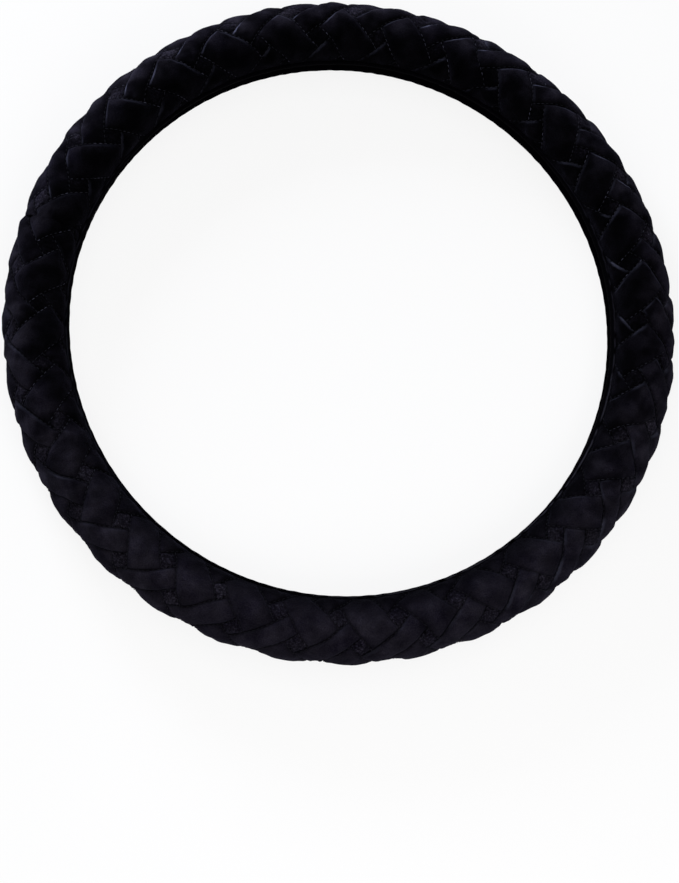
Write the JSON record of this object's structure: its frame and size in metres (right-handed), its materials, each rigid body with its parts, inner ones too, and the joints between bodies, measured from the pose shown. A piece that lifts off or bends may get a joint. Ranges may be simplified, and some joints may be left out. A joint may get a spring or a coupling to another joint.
{
  "type": "steering wheel cover",
  "caption": "Soft quilted black velour ring with a C-shaped section that stretches over the rim of a car steering wheel, lined with a rubber grip ring.",
  "frame": {"origin": "centre of the ring, on the surface that the cover lies on", "axes": "+Z out of the ring's front, along the wheel's axis; +Y towards the top of the ring in the picture"},
  "size_m": [0.3895, 0.3894, 0.0404],
  "materials": {
    "quilted_velour": "short velour pile quilted onto foam, near black with a slight violet tint",
    "plain_velour": "plain velour strip, near black",
    "rubber": "matt, finely ribbed"
  },
  "bodies": {
    "root": {"quilted_cover": "quilted_velour", "front_edge_band": "plain_velour", "back_edge_band": "plain_velour", "grip_upper_right": "rubber", "grip_upper_left": "rubber", "grip_lower_left": "rubber", "grip_lower_right": "rubber"}
  },
  "joints": []
}
